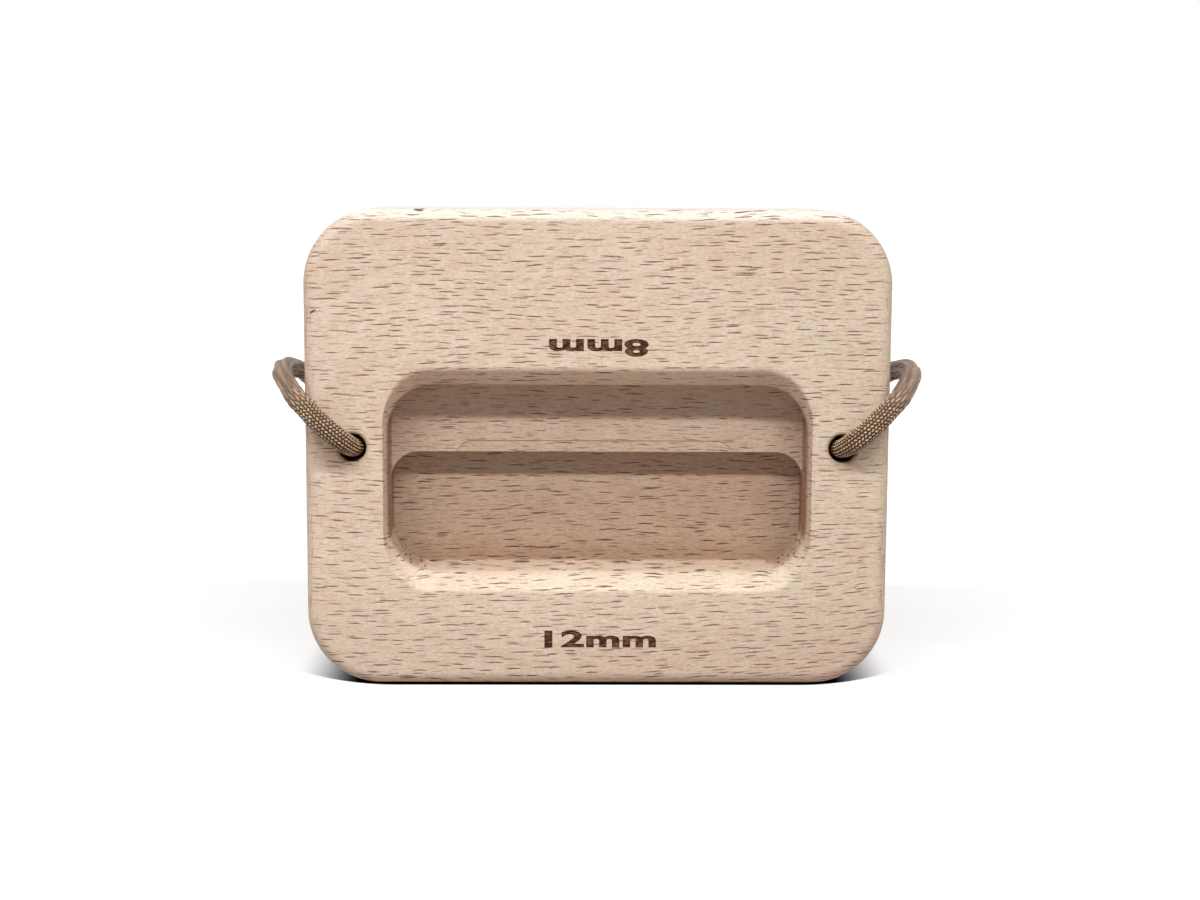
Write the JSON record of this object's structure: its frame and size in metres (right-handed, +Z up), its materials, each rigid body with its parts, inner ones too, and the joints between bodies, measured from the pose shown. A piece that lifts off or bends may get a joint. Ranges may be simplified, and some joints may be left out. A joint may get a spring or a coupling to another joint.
{
  "type": "hangboard",
  "caption": "Portable wooden hangboard with a stepped finger pocket, two cord holes and a knotted hanging cord.",
  "frame": {"origin": "middle of the board's footprint, on the surface that its lower edge stands on", "axes": "+Z up, the pocket's face looks towards -Y, +X runs along the board's width to the right seen from the front"},
  "size_m": [0.125, 0.0947, 0.09],
  "materials": {
    "beech": "fine sanded, unsealed",
    "nylon_cord": "braided, slightly glossy",
    "webbing": "woven, matt"
  },
  "bodies": {
    "root": {"board": "beech", "left_stopper_knot": "nylon_cord", "right_stopper_knot": "nylon_cord", "cord_left": "nylon_cord", "cord_right": "nylon_cord", "cord_coil": "nylon_cord", "coil_tie": "webbing"}
  },
  "joints": []
}
